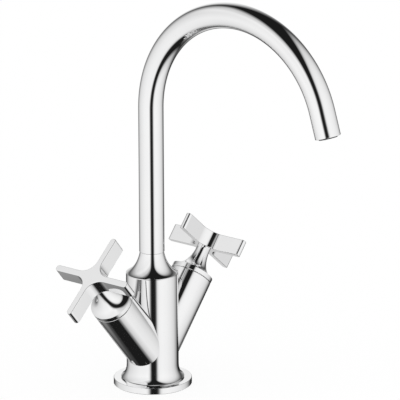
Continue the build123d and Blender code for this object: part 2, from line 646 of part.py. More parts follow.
    # Handle stem: flared cap that covers the valve, with a socket for the spindle's tip
    with BuildPart() as handle_stem:
        with BuildSketch(arm_section(side)):
            with BuildLine():
                Bezier(*STEM_FLARE)
                Polyline(
                    (ARM_RADIUS, CAP_TOP_STATION),
                    (ARM_RADIUS, CAP_STATION + EDGE_BREAK),
                    (ARM_RADIUS - EDGE_BREAK, CAP_STATION),
                    (0, CAP_STATION),
                    (0, STEM_TOP_STATION + STEM_SPIGOT_LENGTH),
                    (STEM_SPIGOT_DIAMETER / 2, STEM_TOP_STATION + STEM_SPIGOT_LENGTH),
                    (STEM_SPIGOT_DIAMETER / 2, STEM_TOP_STATION),
                    (STEM_RADIUS, STEM_TOP_STATION),
                )
            make_face()
        revolve(axis=arm_axis(side))
        with BuildSketch(arm_section(side)):
            ring_section(0, CAP_RECESS_DIAMETER / 2, CAP_STATION, CAP_STATION + CAP_RECESS_DEPTH)
            ring_section(
                0,
                HOUSING_NOSE_DIAMETER / 2 + TURNING_GAP,
                CAP_STATION,
                CLIP_STATION + CLIP_THICKNESS + TURNING_GAP,
            )
            ring_section(0, TIP_RADIUS + RUNNING_CLEARANCE, CAP_STATION, TIP_TOP_STATION + TURNING_GAP)
        revolve(axis=arm_axis(side), mode=Mode.SUBTRACT)
        with BuildSketch(grub_plane(side).offset(TIP_RADIUS)):
            Circle(GRUB_DIAMETER / 2 + RUNNING_CLEARANCE)
        extrude(amount=ARM_RADIUS - TIP_RADIUS, mode=Mode.SUBTRACT)
    save(handle_stem, f"{name}_handle_stem")

    with BuildPart() as grub_screw:
        with BuildSketch(grub_plane(side).offset(TIP_RADIUS + RUNNING_CLEARANCE)):
            Circle(GRUB_DIAMETER / 2)
        extrude(amount=GRUB_OUTER_RADIUS - TIP_RADIUS - RUNNING_CLEARANCE)
        with BuildSketch(grub_plane(side).offset(GRUB_OUTER_RADIUS)):
            RegularPolygon(GRUB_SOCKET_DIAMETER / 2, 6)
        extrude(amount=-GRUB_SOCKET_DIAMETER / 2, mode=Mode.SUBTRACT)
    save(grub_screw, f"{name}_grub_screw")

    with BuildPart() as handle_cross:
        with BuildSketch(arm_plane(side, STEM_TOP_STATION)) as cross_outline:
            Rectangle(CROSS_SPAN, BLADE_THICKNESS)
            Rectangle(BLADE_THICKNESS, CROSS_SPAN)
            fillet(cross_outline.vertices().sort_by_distance((0, 0, 0))[:4], BLADE_INNER_RADIUS)
            fillet(cross_outline.vertices().sort_by_distance((0, 0, 0))[-8:], BLADE_TIP_RADIUS)
        extrude(amount=BLADE_DEPTH)
        cross_ends = handle_cross.faces().sort_by(arm_axis(side))
        fillet(cross_ends[0].edges() + cross_ends[-1].edges(), BLADE_EDGE)
        with BuildSketch(arm_plane(side, STEM_TOP_STATION)):
            Circle(STEM_SPIGOT_DIAMETER / 2 + BRAZE_GAP)
        extrude(amount=STEM_SPIGOT_LENGTH + SEAT_CLEARANCE, mode=Mode.SUBTRACT)
    save(handle_cross, f"{name}_handle_cross")
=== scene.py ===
import bpy
import bmesh
import json
from math import atan2, cos, pi, radians, sin
from mathutils import Matrix, Vector
from mathutils.bvhtree import BVHTree
from mathutils.interpolate import poly_3d_calc


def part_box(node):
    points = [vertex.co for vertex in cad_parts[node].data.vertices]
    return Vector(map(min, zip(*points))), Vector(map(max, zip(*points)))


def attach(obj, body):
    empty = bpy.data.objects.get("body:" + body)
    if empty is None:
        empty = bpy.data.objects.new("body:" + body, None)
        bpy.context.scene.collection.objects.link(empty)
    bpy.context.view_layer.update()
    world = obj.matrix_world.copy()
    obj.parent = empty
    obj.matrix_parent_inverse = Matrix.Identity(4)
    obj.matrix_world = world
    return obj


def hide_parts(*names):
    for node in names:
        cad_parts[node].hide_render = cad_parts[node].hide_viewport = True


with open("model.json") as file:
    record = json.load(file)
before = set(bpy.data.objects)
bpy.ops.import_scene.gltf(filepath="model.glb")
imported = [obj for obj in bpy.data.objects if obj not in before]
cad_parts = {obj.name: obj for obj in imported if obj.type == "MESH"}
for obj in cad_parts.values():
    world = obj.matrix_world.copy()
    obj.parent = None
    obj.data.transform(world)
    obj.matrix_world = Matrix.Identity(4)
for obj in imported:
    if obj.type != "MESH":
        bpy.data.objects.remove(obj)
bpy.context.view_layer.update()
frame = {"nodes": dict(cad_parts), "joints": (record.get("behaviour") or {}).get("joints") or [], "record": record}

# Polished chrome basin mixer on a pale floor. Metres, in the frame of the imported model.

# The photograph's camera
CAMERA_AZIMUTH = radians(-50.323)
CAMERA_ELEVATION = radians(16.564)
CAMERA_ROLL = radians(-0.222)
CAMERA_DISTANCE = 2.94888
CAMERA_AIM_RIGHT = 0.034288
CAMERA_AIM_UP = 0.136
CAMERA_LENS = 375.065
CAMERA_SENSOR = 36.0

# Floor and light tent. The tent is a sphere whose centre is given to the camera's right, towards it
# and up. A panel's azimuth goes from the camera's direction to its right. Its light is the product of
# two profiles, across it and up it, of (degrees from its middle, light).
FLOOR_REACH = 4.0
FLOOR_GLOW = 0.88
TENT_RADIUS = 0.72
TENT_CENTRE = (0.056, 0.074, 0.13)
TENT_DARK = 0.0117
TENT_SUBDIVISIONS = 5
PANELS = (
    {
        "azimuth": -85.0,
        "across": ((-69, 0.0), (-60, 0.18), (-50, 0.43), (-35, 0.71), (-10, 0.82), (20, 0.91),
                   (45, 0.93), (58, 0.96), (64, 0.87), (69, 0.61), (73, 0.17), (78, 0.0)),
        "up": ((-73, 0.0), (-68, 0.11), (-62, 0.75), (-50, 1.01), (0, 1.08), (30, 1.0),
               (45, 1.04), (55, 0.82), (62, 0.72), (68, 0.33), (74, 0.0)),
    },
    {
        "azimuth": 85.0,
        "across": ((-78, 0.0), (-73, 0.06), (-69, 0.3), (-65, 0.68), (-61, 0.85), (-55, 0.96),
                   (-40, 0.98), (-15, 0.94), (10, 0.86), (30, 0.73), (45, 0.48), (55, 0.22),
                   (65, 0.0)),
        "up": ((-80, 0.0), (-73, 0.31), (-68, 0.67), (-62, 0.79), (-50, 0.99), (0, 1.03),
               (30, 1.0), (45, 0.97), (55, 0.89), (61, 0.77), (65, 0.5), (70, 0.0)),
    },
    {
        "azimuth": 180.0,
        "across": ((-34, 0.0), (-20, 0.17), (-10, 0.45), (0, 0.75), (10, 0.82), (20, 0.56),
                   (30, 0.0)),
        "up": ((-80, 0.0), (-72, 0.6), (-65, 0.43), (-55, 0.25), (-45, 0.7), (-33, 1.1),
               (-29, 0.0), (-21, 0.0), (-15, 0.9), (10, 1.2), (25, 1.13), (35, 0.91),
               (45, 0.47), (58, 0.0)),
    },
    {
        "azimuth": -115.0,
        "across": ((-30, 0.0), (-10, 0.09), (10, 0.09), (30, 0.0)),
        "up": ((30, 0.0), (44, 1.0), (58, 1.0), (68, 0.0)),
    },
)

# Sizes of the outer forms. Stations run out along a valve arm from where the two arms' axes cross.
MM = 0.001
SIDES = ("hot", "cold")
EDGE_BREAK = 0.3 * MM
BASE_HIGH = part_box("base_ring")[1]
BASE_RADIUS = BASE_HIGH.x
BASE_HEIGHT = BASE_HIGH.z
BASE_EDGE = 0.5 * MM
BASE_HOLE_RADIUS = 17.1 * MM
GROOVE_INNER_RADIUS = 20.9 * MM
GROOVE_OUTER_RADIUS = 25.6 * MM
GROOVE_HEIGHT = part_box("base_seal")[1].z
SPIGOT_RADIUS = 17.0 * MM
COLUMN_RADIUS = 18.6 * MM
SHOULDER_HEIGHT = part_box("bell_nut")[0].z
FOOT_RADIUS = 22.6 * MM
FOOT_LIP = 0.8 * MM
FOOT_FLARE_HEIGHT = 10.1 * MM
FOOT_RIM_SLOPE = radians(56)
FLARE_RIM_PULL = 0.38
FLARE_NECK_PULL = 0.47
PATCH_PLACE = (-30.0 * MM, 1.0 * MM, 0.0)
PATCH_RADIUS = 16.0 * MM
PORT_RADIUS = 4.5 * MM
PORT_DEPTH = 12.0 * MM
PORT_OFFSET = 9.5 * MM
STUD_RADIUS = 3.4 * MM
STUD_DEPTH = 14.0 * MM
STUD_OFFSET = 10.0 * MM
BASE_HOLES = (
    (-PORT_OFFSET, 0, PORT_RADIUS, PORT_DEPTH),
    (PORT_OFFSET, 0, PORT_RADIUS, PORT_DEPTH),
    (0, -STUD_OFFSET, STUD_RADIUS, STUD_DEPTH),
)
NECK_RADIUS = 11.0 * MM
NECK_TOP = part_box("spout_glide_ring")[0].z
BELL_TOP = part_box("bell_nut")[1].z
BELL_TOP_RADIUS = 8.6 * MM
BELL_RIM_SLOPE = radians(67)
BELL_NECK_SLOPE = radians(9.9)
BELL_BORE_RADIUS = 5.55 * MM
TUBE_LOW, TUBE_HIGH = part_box("spout_tube")
TUBE_RADIUS = TUBE_HIGH.x
TUBE_WALL = 1.0 * MM
TUBE_EDGE = 0.4 * MM
TUBE_FOOT_EDGE = 0.06 * MM
BEND_RADIUS = 78.0 * MM
BEND_ANGLE = radians(163)
BEND_START = TUBE_HIGH.z - BEND_RADIUS - TUBE_RADIUS
OUTLET_LENGTH = 17.5 * MM
ARM_RADIUS = 15.3 * MM
ARM_END = 66.1 * MM
ARM_EDGE = 0.15 * MM
ARM_BORE_RADIUS = 14.2 * MM
ARM_BORE_DEPTH = 1.2 * MM
CAP_START = 66.4 * MM
CAP_END = 69.8 * MM
CAP_RECESS_RADIUS = 13.0 * MM
CAP_RECESS_END = 67.9 * MM
SOCKET_RADIUS = 4.05 * MM
SOCKET_END = 80.7 * MM
STEM_RADIUS = 4.95 * MM
STEM_RIM_SLOPE = radians(78)
STEM_END = 88.8 * MM
STEM_SEAM = 82.0 * MM
GRUB_STATION = 77.2 * MM
GRUB_HOLE_RADIUS = 1.55 * MM
GRUB_HOLE_LENGTH = 12.0 * MM
GRUB_TURN = {"hot": radians(45), "cold": radians(-45)}
BLADE_END = 101.0 * MM
BLADE_REACH = 32.7 * MM
BLADE_HALF = 2.3 * MM
BLADE_INNER_RADIUS = 10.0 * MM
BLADE_TIP_RADIUS = 2.2 * MM
BLADE_EDGE = 0.5 * MM

# Steps of the round and curved runs
ROUND_STEPS = 192
HOLE_STEPS = 48
EDGE_STEPS = 6
FOOT_FLARE_STEPS = 32
BELL_FLARE_STEPS = 64
STEM_FLARE_STEPS = 72
LEG_STEPS = 8
BEND_STEPS = 120
BLADE_INNER_STEPS = 32

# A cut face's corner looks for its surface a little way in towards the face's middle, and a surface
# that faces another way counts as up to this much further off.
PROBE_SHARE = 0.02
FACING_WEIGHT = 1.0 * MM


# Geometry helpers

def line(start, end):
    """Straight run of a profile, as (radius, station, tilt of the normal)."""
    tilt = atan2(start[0] - end[0], end[1] - start[1])
    return [(*start, tilt), (*end, tilt)]


def rounding(centre, radius, start, end):
    """Round run of a profile, from one tilt of the normal to another."""
    run = []
    for i in range(EDGE_STEPS + 1):
        tilt = start + (end - start) * i / EDGE_STEPS
        run.append((centre[0] + radius * cos(tilt), centre[1] + radius * sin(tilt), tilt))
    return run


def flare(rim, neck, rim_slope, neck_slope, steps):
    """Trumpet run of a profile, a Bezier curve from its wide rim to its neck.

    Slopes are from the axis.
    """
    rise = neck[1] - rim[1]
    rim_pull = FLARE_RIM_PULL * rise
    neck_pull = FLARE_NECK_PULL * rise
    points = [
        Vector(rim),
        Vector(rim) + rim_pull * Vector((-sin(rim_slope), cos(rim_slope))),
        Vector(neck) + neck_pull * Vector((sin(neck_slope), -cos(neck_slope))),
        Vector(neck),
    ]
    run = []
    for i in range(steps + 1):
        t = i / steps
        halves = [points[k].lerp(points[k + 1], t) for k in range(3)]
        start = halves[0].lerp(halves[1], t)
        end = halves[1].lerp(halves[2], t)
        along = end - start
        run.append((*start.lerp(end, t), atan2(-along.x, along.y)))
    return run


def circle_ring(place, radius, station, tilt, steps=ROUND_STEPS):
    """Ring of points round the Z axis of a place, and their normals."""
    turn = place.to_3x3()
    points, normals = [], []
    for i in range(steps):
        angle = 2 * pi * i / steps
        points.append(place @ Vector((radius * cos(angle), radius * sin(angle), station)))
        normals.append(turn @ Vector((cos(tilt) * cos(angle), cos(tilt) * sin(angle), sin(tilt))))
    return points, normals


def ring_mesh(name, runs, closed=False):
    """Mesh of rings. Runs that follow each other share a ring and keep their own normals there."""
    points, faces, normals = [], [], []
    last = None
    first = None
    count = len(runs[0][0][0])
    for number, run in enumerate(runs):
        for place, (ring, ring_normals) in enumerate(run):
            if place == 0 and last is not None:
                indices = last
            elif closed and number == len(runs) - 1 and place == len(run) - 1:
                indices = first
            else:
                indices = range(len(points), len(points) + count)
                points.extend(ring)
            if first is None:
                first = indices
            if place > 0:
                for i in range(count):
                    j = (i + 1) % count
                    faces.append((last[i], last[j], indices[j], indices[i]))
                    normals.extend((last_normals[i], last_normals[j]))
                    normals.extend((ring_normals[j], ring_normals[i]))
            last, last_normals = indices, ring_normals
    if not closed:
        faces.append(tuple(reversed(first)))
        normals.extend([cap_normal(points, first, True)] * count)
        faces.append(tuple(last))
        normals.extend([cap_normal(points, last, False)] * count)
    mesh = bpy.data.meshes.new(name)
    mesh.from_pydata(points, [], faces)
    mesh.polygons.foreach_set("use_smooth", [True] * len(mesh.polygons))
    mesh.normals_split_custom_set([normal.normalized() for normal in normals])
    piece = bpy.data.objects.new(name, mesh)
    bpy.context.scene.collection.objects.link(piece)
    return piece


def cap_normal(points, ring, backward):
    """Normal of the flat face that closes a ring."""
    centre = sum((points[i] for i in ring), Vector()) / len(ring)
    third = len(ring) // 3
    normal = (points[ring[0]] - centre).cross(points[ring[third]] - centre).normalized()
    return -normal if backward else normal


def lathe(name, place, runs, closed=False, steps=ROUND_STEPS):
    """Turned piece: its profile goes up outside, so that its normals point out."""
    rings = [[circle_ring(place, *station, steps=steps) for station in run] for run in runs]
    return ring_mesh(name, rings, closed)


def rod(place, radius, low, high):
    """Round rod along the Z axis of a place, to cut with."""
    return lathe("cutter", place, [line((radius, low), (radius, high))], steps=HOLE_STEPS)


def combine(piece, other, operation):
    """Boolean of two closed meshes that keeps the smooth normals of both."""
    sources = [normal_source(piece), normal_source(other)]
    modifier = piece.modifiers.new("combine", "BOOLEAN")
    modifier.operation = operation
    modifier.solver = "EXACT"
    modifier.object = other
    bpy.context.view_layer.update()
    shaped = piece.evaluated_get(bpy.context.evaluated_depsgraph_get())
    mesh = bpy.data.meshes.new_from_object(shaped)
    piece.modifiers.clear()
    mesh.name = piece.name
    piece.data = mesh
    mesh.polygons.foreach_set("use_smooth", [True] * len(mesh.polygons))
    normals = []
    for polygon in mesh.polygons:
        for index in polygon.vertices:
            normals.append(source_normal(mesh.vertices[index].co, polygon, sources))
    mesh.normals_split_custom_set(normals)
    bpy.data.objects.remove(other)


def normal_source(piece):
    """What source_normal needs to know of a mesh before it is cut."""
    mesh = piece.data
    points = [vertex.co.copy() for vertex in mesh.vertices]
    faces = [tuple(polygon.vertices) for polygon in mesh.polygons]
    tree = BVHTree.FromPolygons(points, faces)
    corners = []
    for polygon in mesh.polygons:
        loops = range(polygon.loop_start, polygon.loop_start + polygon.loop_total)
        corners.append((
            [points[i] for i in polygon.vertices],
            [mesh.corner_normals[i].vector.copy() for i in loops],
        ))
    return tree, corners


def source_normal(point, polygon, sources):
    """Smooth normal at a corner of a cut mesh, read from the surface that the polygon lies on."""
    probe = point.lerp(polygon.center, PROBE_SHARE)
    best_score = None
    for tree, corners in sources:
        _, face_normal, index, distance = tree.find_nearest(probe)
        score = distance + FACING_WEIGHT * (1 - abs(face_normal.dot(polygon.normal)))
        if best_score is None or score < best_score:
            best_score = score
            places, corner_normals = corners[index]
    weights = poly_3d_calc(places, point)
    normal = sum((n * w for n, w in zip(corner_normals, weights)), Vector()).normalized()
    return normal if normal.dot(polygon.normal) > 0 else -normal


def arm_place(side):
    """Place of a valve arm: Z runs out along the handle's axis, X is the object's Y."""
    joint = next(j for j in frame["joints"] if j["name"] == f"{side}_handle_turn")
    out = Vector(joint["axis"]).normalized()
    rear = Vector((0, 1, 0))
    turn = Matrix((rear, out.cross(rear), out)).transposed()
    return Matrix.Translation(Vector(joint["pos_m"])) @ turn.to_4x4()


# Outer pieces

def make_base_ring():
    """Flat ring on the floor, with the seal's groove in its underside."""
    top = BASE_HEIGHT - BASE_EDGE
    edge = BASE_RADIUS - BASE_EDGE
    runs = [
        line((BASE_HOLE_RADIUS, 0), (GROOVE_INNER_RADIUS, 0)),
        line((GROOVE_INNER_RADIUS, 0), (GROOVE_INNER_RADIUS, GROOVE_HEIGHT)),
        line((GROOVE_INNER_RADIUS, GROOVE_HEIGHT), (GROOVE_OUTER_RADIUS, GROOVE_HEIGHT)),
        line((GROOVE_OUTER_RADIUS, GROOVE_HEIGHT), (GROOVE_OUTER_RADIUS, 0)),
        line((GROOVE_OUTER_RADIUS, 0), (BASE_RADIUS - EDGE_BREAK, 0)),
        line((BASE_RADIUS - EDGE_BREAK, 0), (BASE_RADIUS, EDGE_BREAK)),
        line((BASE_RADIUS, EDGE_BREAK), (BASE_RADIUS, top)),
        rounding((edge, top), BASE_EDGE, 0, pi / 2),
        line((edge, BASE_HEIGHT), (BASE_HOLE_RADIUS, BASE_HEIGHT)),
        line((BASE_HOLE_RADIUS, BASE_HEIGHT), (BASE_HOLE_RADIUS, 0)),
    ]
    return lathe("chrome_base_ring", Matrix.Identity(4), runs, closed=True)


def make_column():
    """Column with its flared foot, the spigot in the base ring and the neck inside the bell nut."""
    flare_low = BASE_HEIGHT + FOOT_LIP
    flare_high = flare_low + FOOT_FLARE_HEIGHT
    edge_low = SHOULDER_HEIGHT - EDGE_BREAK
    shoulder_radius = COLUMN_RADIUS - EDGE_BREAK
    runs = [
        line((SPIGOT_RADIUS, 0), (SPIGOT_RADIUS, BASE_HEIGHT)),
        line((SPIGOT_RADIUS, BASE_HEIGHT), (FOOT_RADIUS - FOOT_LIP, BASE_HEIGHT)),
        line((FOOT_RADIUS - FOOT_LIP, BASE_HEIGHT), (FOOT_RADIUS, flare_low)),
        flare(
            (FOOT_RADIUS, flare_low), (COLUMN_RADIUS, flare_high), FOOT_RIM_SLOPE, 0, FOOT_FLARE_STEPS
        ),
        line((COLUMN_RADIUS, flare_high), (COLUMN_RADIUS, edge_low)),
        line((COLUMN_RADIUS, edge_low), (shoulder_radius, SHOULDER_HEIGHT)),
        line((shoulder_radius, SHOULDER_HEIGHT), (NECK_RADIUS, SHOULDER_HEIGHT)),
        line((NECK_RADIUS, SHOULDER_HEIGHT), (NECK_RADIUS, NECK_TOP)),
    ]
    return lathe("chrome_body", Matrix.Identity(4), runs)


def make_arm(side):
    """Leaning valve arm, with the rim of its bore."""
    runs = [
        line((ARM_RADIUS, 0), (ARM_RADIUS, ARM_END - ARM_EDGE)),
        line((ARM_RADIUS, ARM_END - ARM_EDGE), (ARM_RADIUS - ARM_EDGE, ARM_END)),
        line((ARM_RADIUS - ARM_EDGE, ARM_END), (ARM_BORE_RADIUS, ARM_END)),
        line((ARM_BORE_RADIUS, ARM_END), (ARM_BORE_RADIUS, ARM_END - ARM_BORE_DEPTH)),
    ]
    return lathe(f"{side}_arm", arm_place(side), runs)


def make_body():
    """Column with its arms and foot. The part of the foot under the hot arm is a piece of its own."""
    body = make_column()
    for side in SIDES:
        combine(body, make_arm(side), "UNION")
    for x, y, radius, depth in BASE_HOLES:
        combine(body, rod(Matrix.Translation((x, y, 0)), radius, -depth, depth), "DIFFERENCE")
    patch = bpy.data.objects.new("chrome_foot_patch", body.data.copy())
    bpy.context.scene.collection.objects.link(patch)
    seam = BASE_HEIGHT + FOOT_LIP + FOOT_FLARE_HEIGHT
    for piece, operation in ((body, "DIFFERENCE"), (patch, "INTERSECT")):
        cutter = rod(Matrix.Translation(PATCH_PLACE), PATCH_RADIUS, -seam, seam)
        combine(piece, cutter, operation)
    return body, patch


def make_bell():
    """Trumpet-shaped union nut on the column's shoulder."""
    rim = SHOULDER_HEIGHT + EDGE_BREAK
    runs = [
        line((NECK_RADIUS, SHOULDER_HEIGHT), (COLUMN_RADIUS - EDGE_BREAK, SHOULDER_HEIGHT)),
        line((COLUMN_RADIUS - EDGE_BREAK, SHOULDER_HEIGHT), (COLUMN_RADIUS, rim)),
        flare(
            (COLUMN_RADIUS, rim), (BELL_TOP_RADIUS, BELL_TOP),
            BELL_RIM_SLOPE, BELL_NECK_SLOPE, BELL_FLARE_STEPS,
        ),
        line((BELL_TOP_RADIUS, BELL_TOP), (BELL_BORE_RADIUS, BELL_TOP)),
        line((BELL_BORE_RADIUS, BELL_TOP), (BELL_BORE_RADIUS, NECK_TOP)),
        line((BELL_BORE_RADIUS, NECK_TOP), (NECK_RADIUS, NECK_TOP)),
        line((NECK_RADIUS, NECK_TOP), (NECK_RADIUS, SHOULDER_HEIGHT)),
    ]
    return lathe("chrome_bell_nut", Matrix.Identity(4), runs, closed=True)


def tube_place(distance):
    """Place on the spout's centre line, Z along it, at a distance from the tube's foot."""
    leg = BEND_START - TUBE_LOW.z
    bend = BEND_RADIUS * BEND_ANGLE
    turn = min(max((distance - leg) / BEND_RADIUS, 0), BEND_ANGLE)
    along = Vector((0, -sin(turn), cos(turn)))
    centre = Vector((0, -BEND_RADIUS * (1 - cos(turn)), BEND_START + BEND_RADIUS * sin(turn)))
    centre += along * (min(distance - leg, 0) + max(distance - leg - bend, 0))
    side = Vector((1, 0, 0))
    axes = Matrix((side, along.cross(side), along)).transposed()
    return Matrix.Translation(centre) @ axes.to_4x4()


def make_tube():
    """Straight leg and gooseneck of the spout, two pieces that meet where the bend starts."""
    leg = BEND_START - TUBE_LOW.z
    bend = BEND_RADIUS * BEND_ANGLE
    total = leg + bend + OUTLET_LENGTH
    bore = TUBE_RADIUS - TUBE_WALL
    lip = TUBE_RADIUS - TUBE_EDGE
    foot_lip = TUBE_RADIUS - TUBE_FOOT_EDGE

    def shell(distances, radius, tilt):
        return [circle_ring(tube_place(distance), radius, 0, tilt) for distance in distances]

    def end(distance, profile):
        return [circle_ring(tube_place(distance), *point) for point in profile]

    low = [TUBE_FOOT_EDGE] + [leg * i / LEG_STEPS for i in range(1, LEG_STEPS + 1)]
    straight = [
        shell(low, TUBE_RADIUS, 0),
        end(leg, line((TUBE_RADIUS, 0), (bore, 0))),
        shell(low[::-1] + [0], bore, pi),
        end(0, line((bore, 0), (foot_lip, 0))),
        end(0, rounding((foot_lip, TUBE_FOOT_EDGE), TUBE_FOOT_EDGE, -pi / 2, 0)),
    ]
    high = [leg + bend * i / BEND_STEPS for i in range(BEND_STEPS + 1)]
    gooseneck = [
        shell(high + [total - TUBE_EDGE], TUBE_RADIUS, 0),
        end(total, rounding((lip, -TUBE_EDGE), TUBE_EDGE, 0, pi / 2)),
        end(total, line((lip, 0), (bore, 0))),
        shell([total] + high[::-1], bore, pi),
        end(leg, line((bore, 0), (TUBE_RADIUS, 0))),
    ]
    return (
        ring_mesh("chrome_spout_leg", straight, closed=True),
        ring_mesh("chrome_spout_gooseneck", gooseneck, closed=True),
    )


def make_stem(side):
    """Flared cap and upper stem of a handle, two pieces that meet at a station of the flare."""
    rim = (ARM_RADIUS, CAP_END)
    whole = flare(rim, (STEM_RADIUS, STEM_END), STEM_RIM_SLOPE, 0, STEM_FLARE_STEPS)
    seam = next(i for i, (_, station, _) in enumerate(whole) if station > STEM_SEAM)
    runs = [
        line((SOCKET_RADIUS, SOCKET_END), (SOCKET_RADIUS, CAP_RECESS_END)),
        line((SOCKET_RADIUS, CAP_RECESS_END), (CAP_RECESS_RADIUS, CAP_RECESS_END)),
        line((CAP_RECESS_RADIUS, CAP_RECESS_END), (CAP_RECESS_RADIUS, CAP_START)),
        line((CAP_RECESS_RADIUS, CAP_START), (ARM_RADIUS - EDGE_BREAK, CAP_START)),
        line((ARM_RADIUS - EDGE_BREAK, CAP_START), (ARM_RADIUS, CAP_START + EDGE_BREAK)),
        line((ARM_RADIUS, CAP_START + EDGE_BREAK), (ARM_RADIUS, CAP_END)),
        whole[:seam + 1],
    ]
    cap = lathe(f"chrome_{side}_cap", arm_place(side), runs)
    axis = Vector((0, 0, 1))
    out = Vector((cos(GRUB_TURN[side]), sin(GRUB_TURN[side]), 0))
    turn = Matrix((axis, out.cross(axis), out)).transposed()
    place = arm_place(side) @ Matrix.Translation((0, 0, GRUB_STATION)) @ turn.to_4x4()
    combine(cap, rod(place, GRUB_HOLE_RADIUS, 0, GRUB_HOLE_LENGTH), "DIFFERENCE")
    return cap, lathe(f"chrome_{side}_stem", arm_place(side), [whole[seam:]])


def quarter_circle(steps):
    """Directions from the X axis to the Y axis."""
    angles = [pi / 2 * i / steps for i in range(steps + 1)]
    return [Vector((cos(angle), sin(angle))) for angle in angles]


def cross_outline():
    """Points and normals round the cross handle, one quarter after another."""
    points = []
    tip = Vector((BLADE_HALF - BLADE_TIP_RADIUS, BLADE_REACH - BLADE_TIP_RADIUS))
    inner = BLADE_HALF + BLADE_INNER_RADIUS
    for quarter in range(4):
        turn = Matrix.Rotation(quarter * pi / 2, 2)
        stretch = []
        for normal in quarter_circle(EDGE_STEPS):
            stretch.append((tip.yx + BLADE_TIP_RADIUS * normal, normal))
        for direction in quarter_circle(BLADE_INNER_STEPS):
            normal = direction.yx
            stretch.append((Vector((inner, inner)) - BLADE_INNER_RADIUS * normal, normal))
        for normal in quarter_circle(EDGE_STEPS):
            stretch.append((tip + BLADE_TIP_RADIUS * normal, normal))
        points.extend((turn @ point, turn @ normal) for point, normal in stretch)
    return points


def make_cross(side):
    """Blades of a cross handle, and the rounded underside that meets them at a seam."""
    place = arm_place(side)
    turn = place.to_3x3()
    outline = cross_outline()

    def outline_ring(inset, station, tilt):
        points = [place @ Vector((*(point - normal * inset), station)) for point, normal in outline]
        normals = [turn @ Vector((*(normal * cos(tilt)), sin(tilt))) for _, normal in outline]
        return points, normals

    def rounded(station, start, end):
        run = []
        for i in range(EDGE_STEPS + 1):
            tilt = start + (end - start) * i / EDGE_STEPS
            inset = BLADE_EDGE * (1 - cos(tilt))
            run.append(outline_ring(inset, station + BLADE_EDGE * sin(tilt), tilt))
        return run

    seam = STEM_END + BLADE_EDGE
    blades = [
        [outline_ring(0, seam, 0), outline_ring(0, BLADE_END - BLADE_EDGE, 0)],
        rounded(BLADE_END - BLADE_EDGE, 0, pi / 2),
    ]
    underside = [rounded(seam, -pi / 2, 0)]
    return (
        ring_mesh(f"chrome_{side}_cross", blades),
        ring_mesh(f"chrome_{side}_cross_underside", underside),
    )


# Materials

# Finish of each slot: the two colours that its patches mix, how metallic it is, its range of
# roughness, the size of its patches, the size of its grain across and along the piece's axis, and the
# depth of the grain.
FINISHES = {
    "chrome": {
        "colours": ((0.89, 0.89, 0.895), (0.91, 0.91, 0.91)), "metallic": 1.0,
        "roughness": (0.022, 0.04), "patch": 24 * MM, "grain": (2 * MM, 2 * MM), "depth": 0.0002 * MM,
    },
    "brass": {
        "colours": ((0.72, 0.53, 0.26), (0.84, 0.67, 0.38)), "metallic": 1.0,
        "roughness": (0.2, 0.38), "patch": 6 * MM, "grain": (9 * MM, 0.12 * MM), "depth": 0.02 * MM,
    },
    "rubber": {
        "colours": ((0.022, 0.022, 0.023), (0.04, 0.04, 0.04)), "metallic": 0.0,
        "roughness": (0.62, 0.82), "patch": 2 * MM, "grain": (0.15 * MM, 0.15 * MM), "depth": 0.02 * MM,
    },
    "ceramic_disc": {
        "colours": ((0.84, 0.83, 0.77), (0.88, 0.87, 0.83)), "metallic": 0.0,
        "roughness": (0.14, 0.26), "patch": 4 * MM, "grain": (0.1 * MM, 0.1 * MM), "depth": 0.003 * MM,
    },
    "glide_plastic": {
        "colours": ((0.83, 0.83, 0.80), (0.87, 0.87, 0.85)), "metallic": 0.0,
        "roughness": (0.36, 0.5), "patch": 5 * MM, "grain": (0.2 * MM, 0.2 * MM), "depth": 0.01 * MM,
    },
    "aerator_plastic": {
        "colours": ((0.032, 0.032, 0.034), (0.05, 0.05, 0.052)), "metallic": 0.0,
        "roughness": (0.4, 0.55), "patch": 5 * MM, "grain": (0.2 * MM, 0.2 * MM), "depth": 0.01 * MM,
    },
    "steel": {
        "colours": ((0.57, 0.57, 0.585), (0.66, 0.66, 0.68)), "metallic": 1.0,
        "roughness": (0.2, 0.36), "patch": 2 * MM, "grain": (0.08 * MM, 2.5 * MM), "depth": 0.01 * MM,
    },
}
GRAIN_DETAIL = 3.0
NOISE_LOW = 0.3
NOISE_HIGH = 0.7
UPRIGHT = (0, 0, 0)


def add_node(tree, kind, settings, inputs):
    """New node with its settings and its inputs, which are sockets to link or plain values."""
    node = tree.nodes.new(kind)
    for name, value in settings.items():
        setattr(node, name, value)
    for name, value in inputs.items():
        if isinstance(value, bpy.types.NodeSocket):
            tree.links.new(value, node.inputs[name])
        else:
            node.inputs[name].default_value = value
    return node.outputs


def noise_node(tree, place, size):
    """Noise with features of a size along each axis."""
    scale = [1 / length for length in size]
    settings = {"operation": "MULTIPLY"}
    point = add_node(tree, "ShaderNodeVectorMath", settings, {0: place, 1: scale})["Vector"]
    inputs = {"Vector": point, "Scale": 1.0, "Detail": GRAIN_DETAIL}
    return add_node(tree, "ShaderNodeTexNoise", {}, inputs)[0]


def range_node(tree, value, low, high):
    """Noise spread over a range."""
    inputs = {
        "Value": value, "From Min": NOISE_LOW, "From Max": NOISE_HIGH, "To Min": low, "To Max": high,
    }
    return add_node(tree, "ShaderNodeMapRange", {}, inputs)[0]


